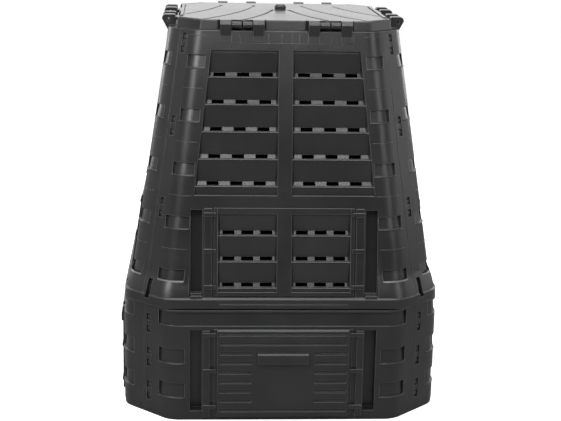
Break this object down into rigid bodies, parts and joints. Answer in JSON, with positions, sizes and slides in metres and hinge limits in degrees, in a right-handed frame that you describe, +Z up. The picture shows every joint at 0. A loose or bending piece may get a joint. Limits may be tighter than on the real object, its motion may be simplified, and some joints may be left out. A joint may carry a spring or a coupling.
{
  "type": "compost bin",
  "caption": "Tall square tapered compost bin with louvred side panels, louvred hatches, sliding doors in a base ring, and a flat hinged lid with a vent knob.",
  "frame": {"origin": "on the ground, at the middle of the bin", "axes": "+Z up, -Y towards the front, +X to the right as seen from the front; the lid's hinge is at +Y"},
  "size_m": [0.944, 0.944, 1.1298],
  "materials": {
    "body_plastic": "matt, lightly grained",
    "lid_plastic": "matt, lightly grained",
    "pin_plastic": "matt"
  },
  "bodies": {
    "bin": {"upper_panel_front": "body_plastic", "upper_panel_right": "body_plastic", "upper_panel_back": "body_plastic", "upper_panel_left": "body_plastic", "ring_panel_front": "body_plastic", "ring_panel_right": "body_plastic", "ring_panel_back": "body_plastic", "ring_panel_left": "body_plastic", "hinge_pin_left": "pin_plastic", "hinge_pin_right": "pin_plastic"},
    "lid_body": {"lid": "lid_plastic"},
    "knob_body": {"vent_knob": "lid_plastic"},
    "door_front_body": {"door_front": "body_plastic"},
    "hatch_front_body": {"hatch_front": "body_plastic"},
    "door_right_body": {"door_right": "body_plastic"},
    "hatch_right_body": {"hatch_right": "body_plastic"},
    "door_back_body": {"door_back": "body_plastic"},
    "hatch_back_body": {"hatch_back": "body_plastic"},
    "door_left_body": {"door_left": "body_plastic"},
    "hatch_left_body": {"hatch_left": "body_plastic"}
  },
  "joints": [
    {"name": "lid_hinge", "type": "hinge", "parent": "bin", "child": "lid_body", "pos_m": [0, 0.326, 1.098], "axis": [-1, 0, 0], "range_deg": [0, 105]},
    {"name": "knob_turn", "type": "hinge", "parent": "lid_body", "child": "knob_body", "pos_m": [0, 0, 1.11], "axis": [0, 0, 1], "range_deg": [0, 90]},
    {"name": "door_front_slide", "type": "slide", "parent": "bin", "child": "door_front_body", "axis": [0, 0, 1], "range_m": [0, 0.2]},
    {"name": "hatch_front_lift", "type": "slide", "parent": "bin", "child": "hatch_front_body", "axis": [0, 0.1471, 0.9891], "range_m": [0, 0.011]},
    {"name": "door_right_slide", "type": "slide", "parent": "bin", "child": "door_right_body", "axis": [0, 0, 1], "range_m": [0, 0.2]},
    {"name": "hatch_right_lift", "type": "slide", "parent": "bin", "child": "hatch_right_body", "axis": [-0.1471, 0, 0.9891], "range_m": [0, 0.011]},
    {"name": "door_back_slide", "type": "slide", "parent": "bin", "child": "door_back_body", "axis": [0, 0, 1], "range_m": [0, 0.2]},
    {"name": "hatch_back_lift", "type": "slide", "parent": "bin", "child": "hatch_back_body", "axis": [0, -0.1471, 0.9891], "range_m": [0, 0.011]},
    {"name": "door_left_slide", "type": "slide", "parent": "bin", "child": "door_left_body", "axis": [0, 0, 1], "range_m": [0, 0.2]},
    {"name": "hatch_left_lift", "type": "slide", "parent": "bin", "child": "hatch_left_body", "axis": [0.1471, 0, 0.9891], "range_m": [0, 0.011]}
  ]
}
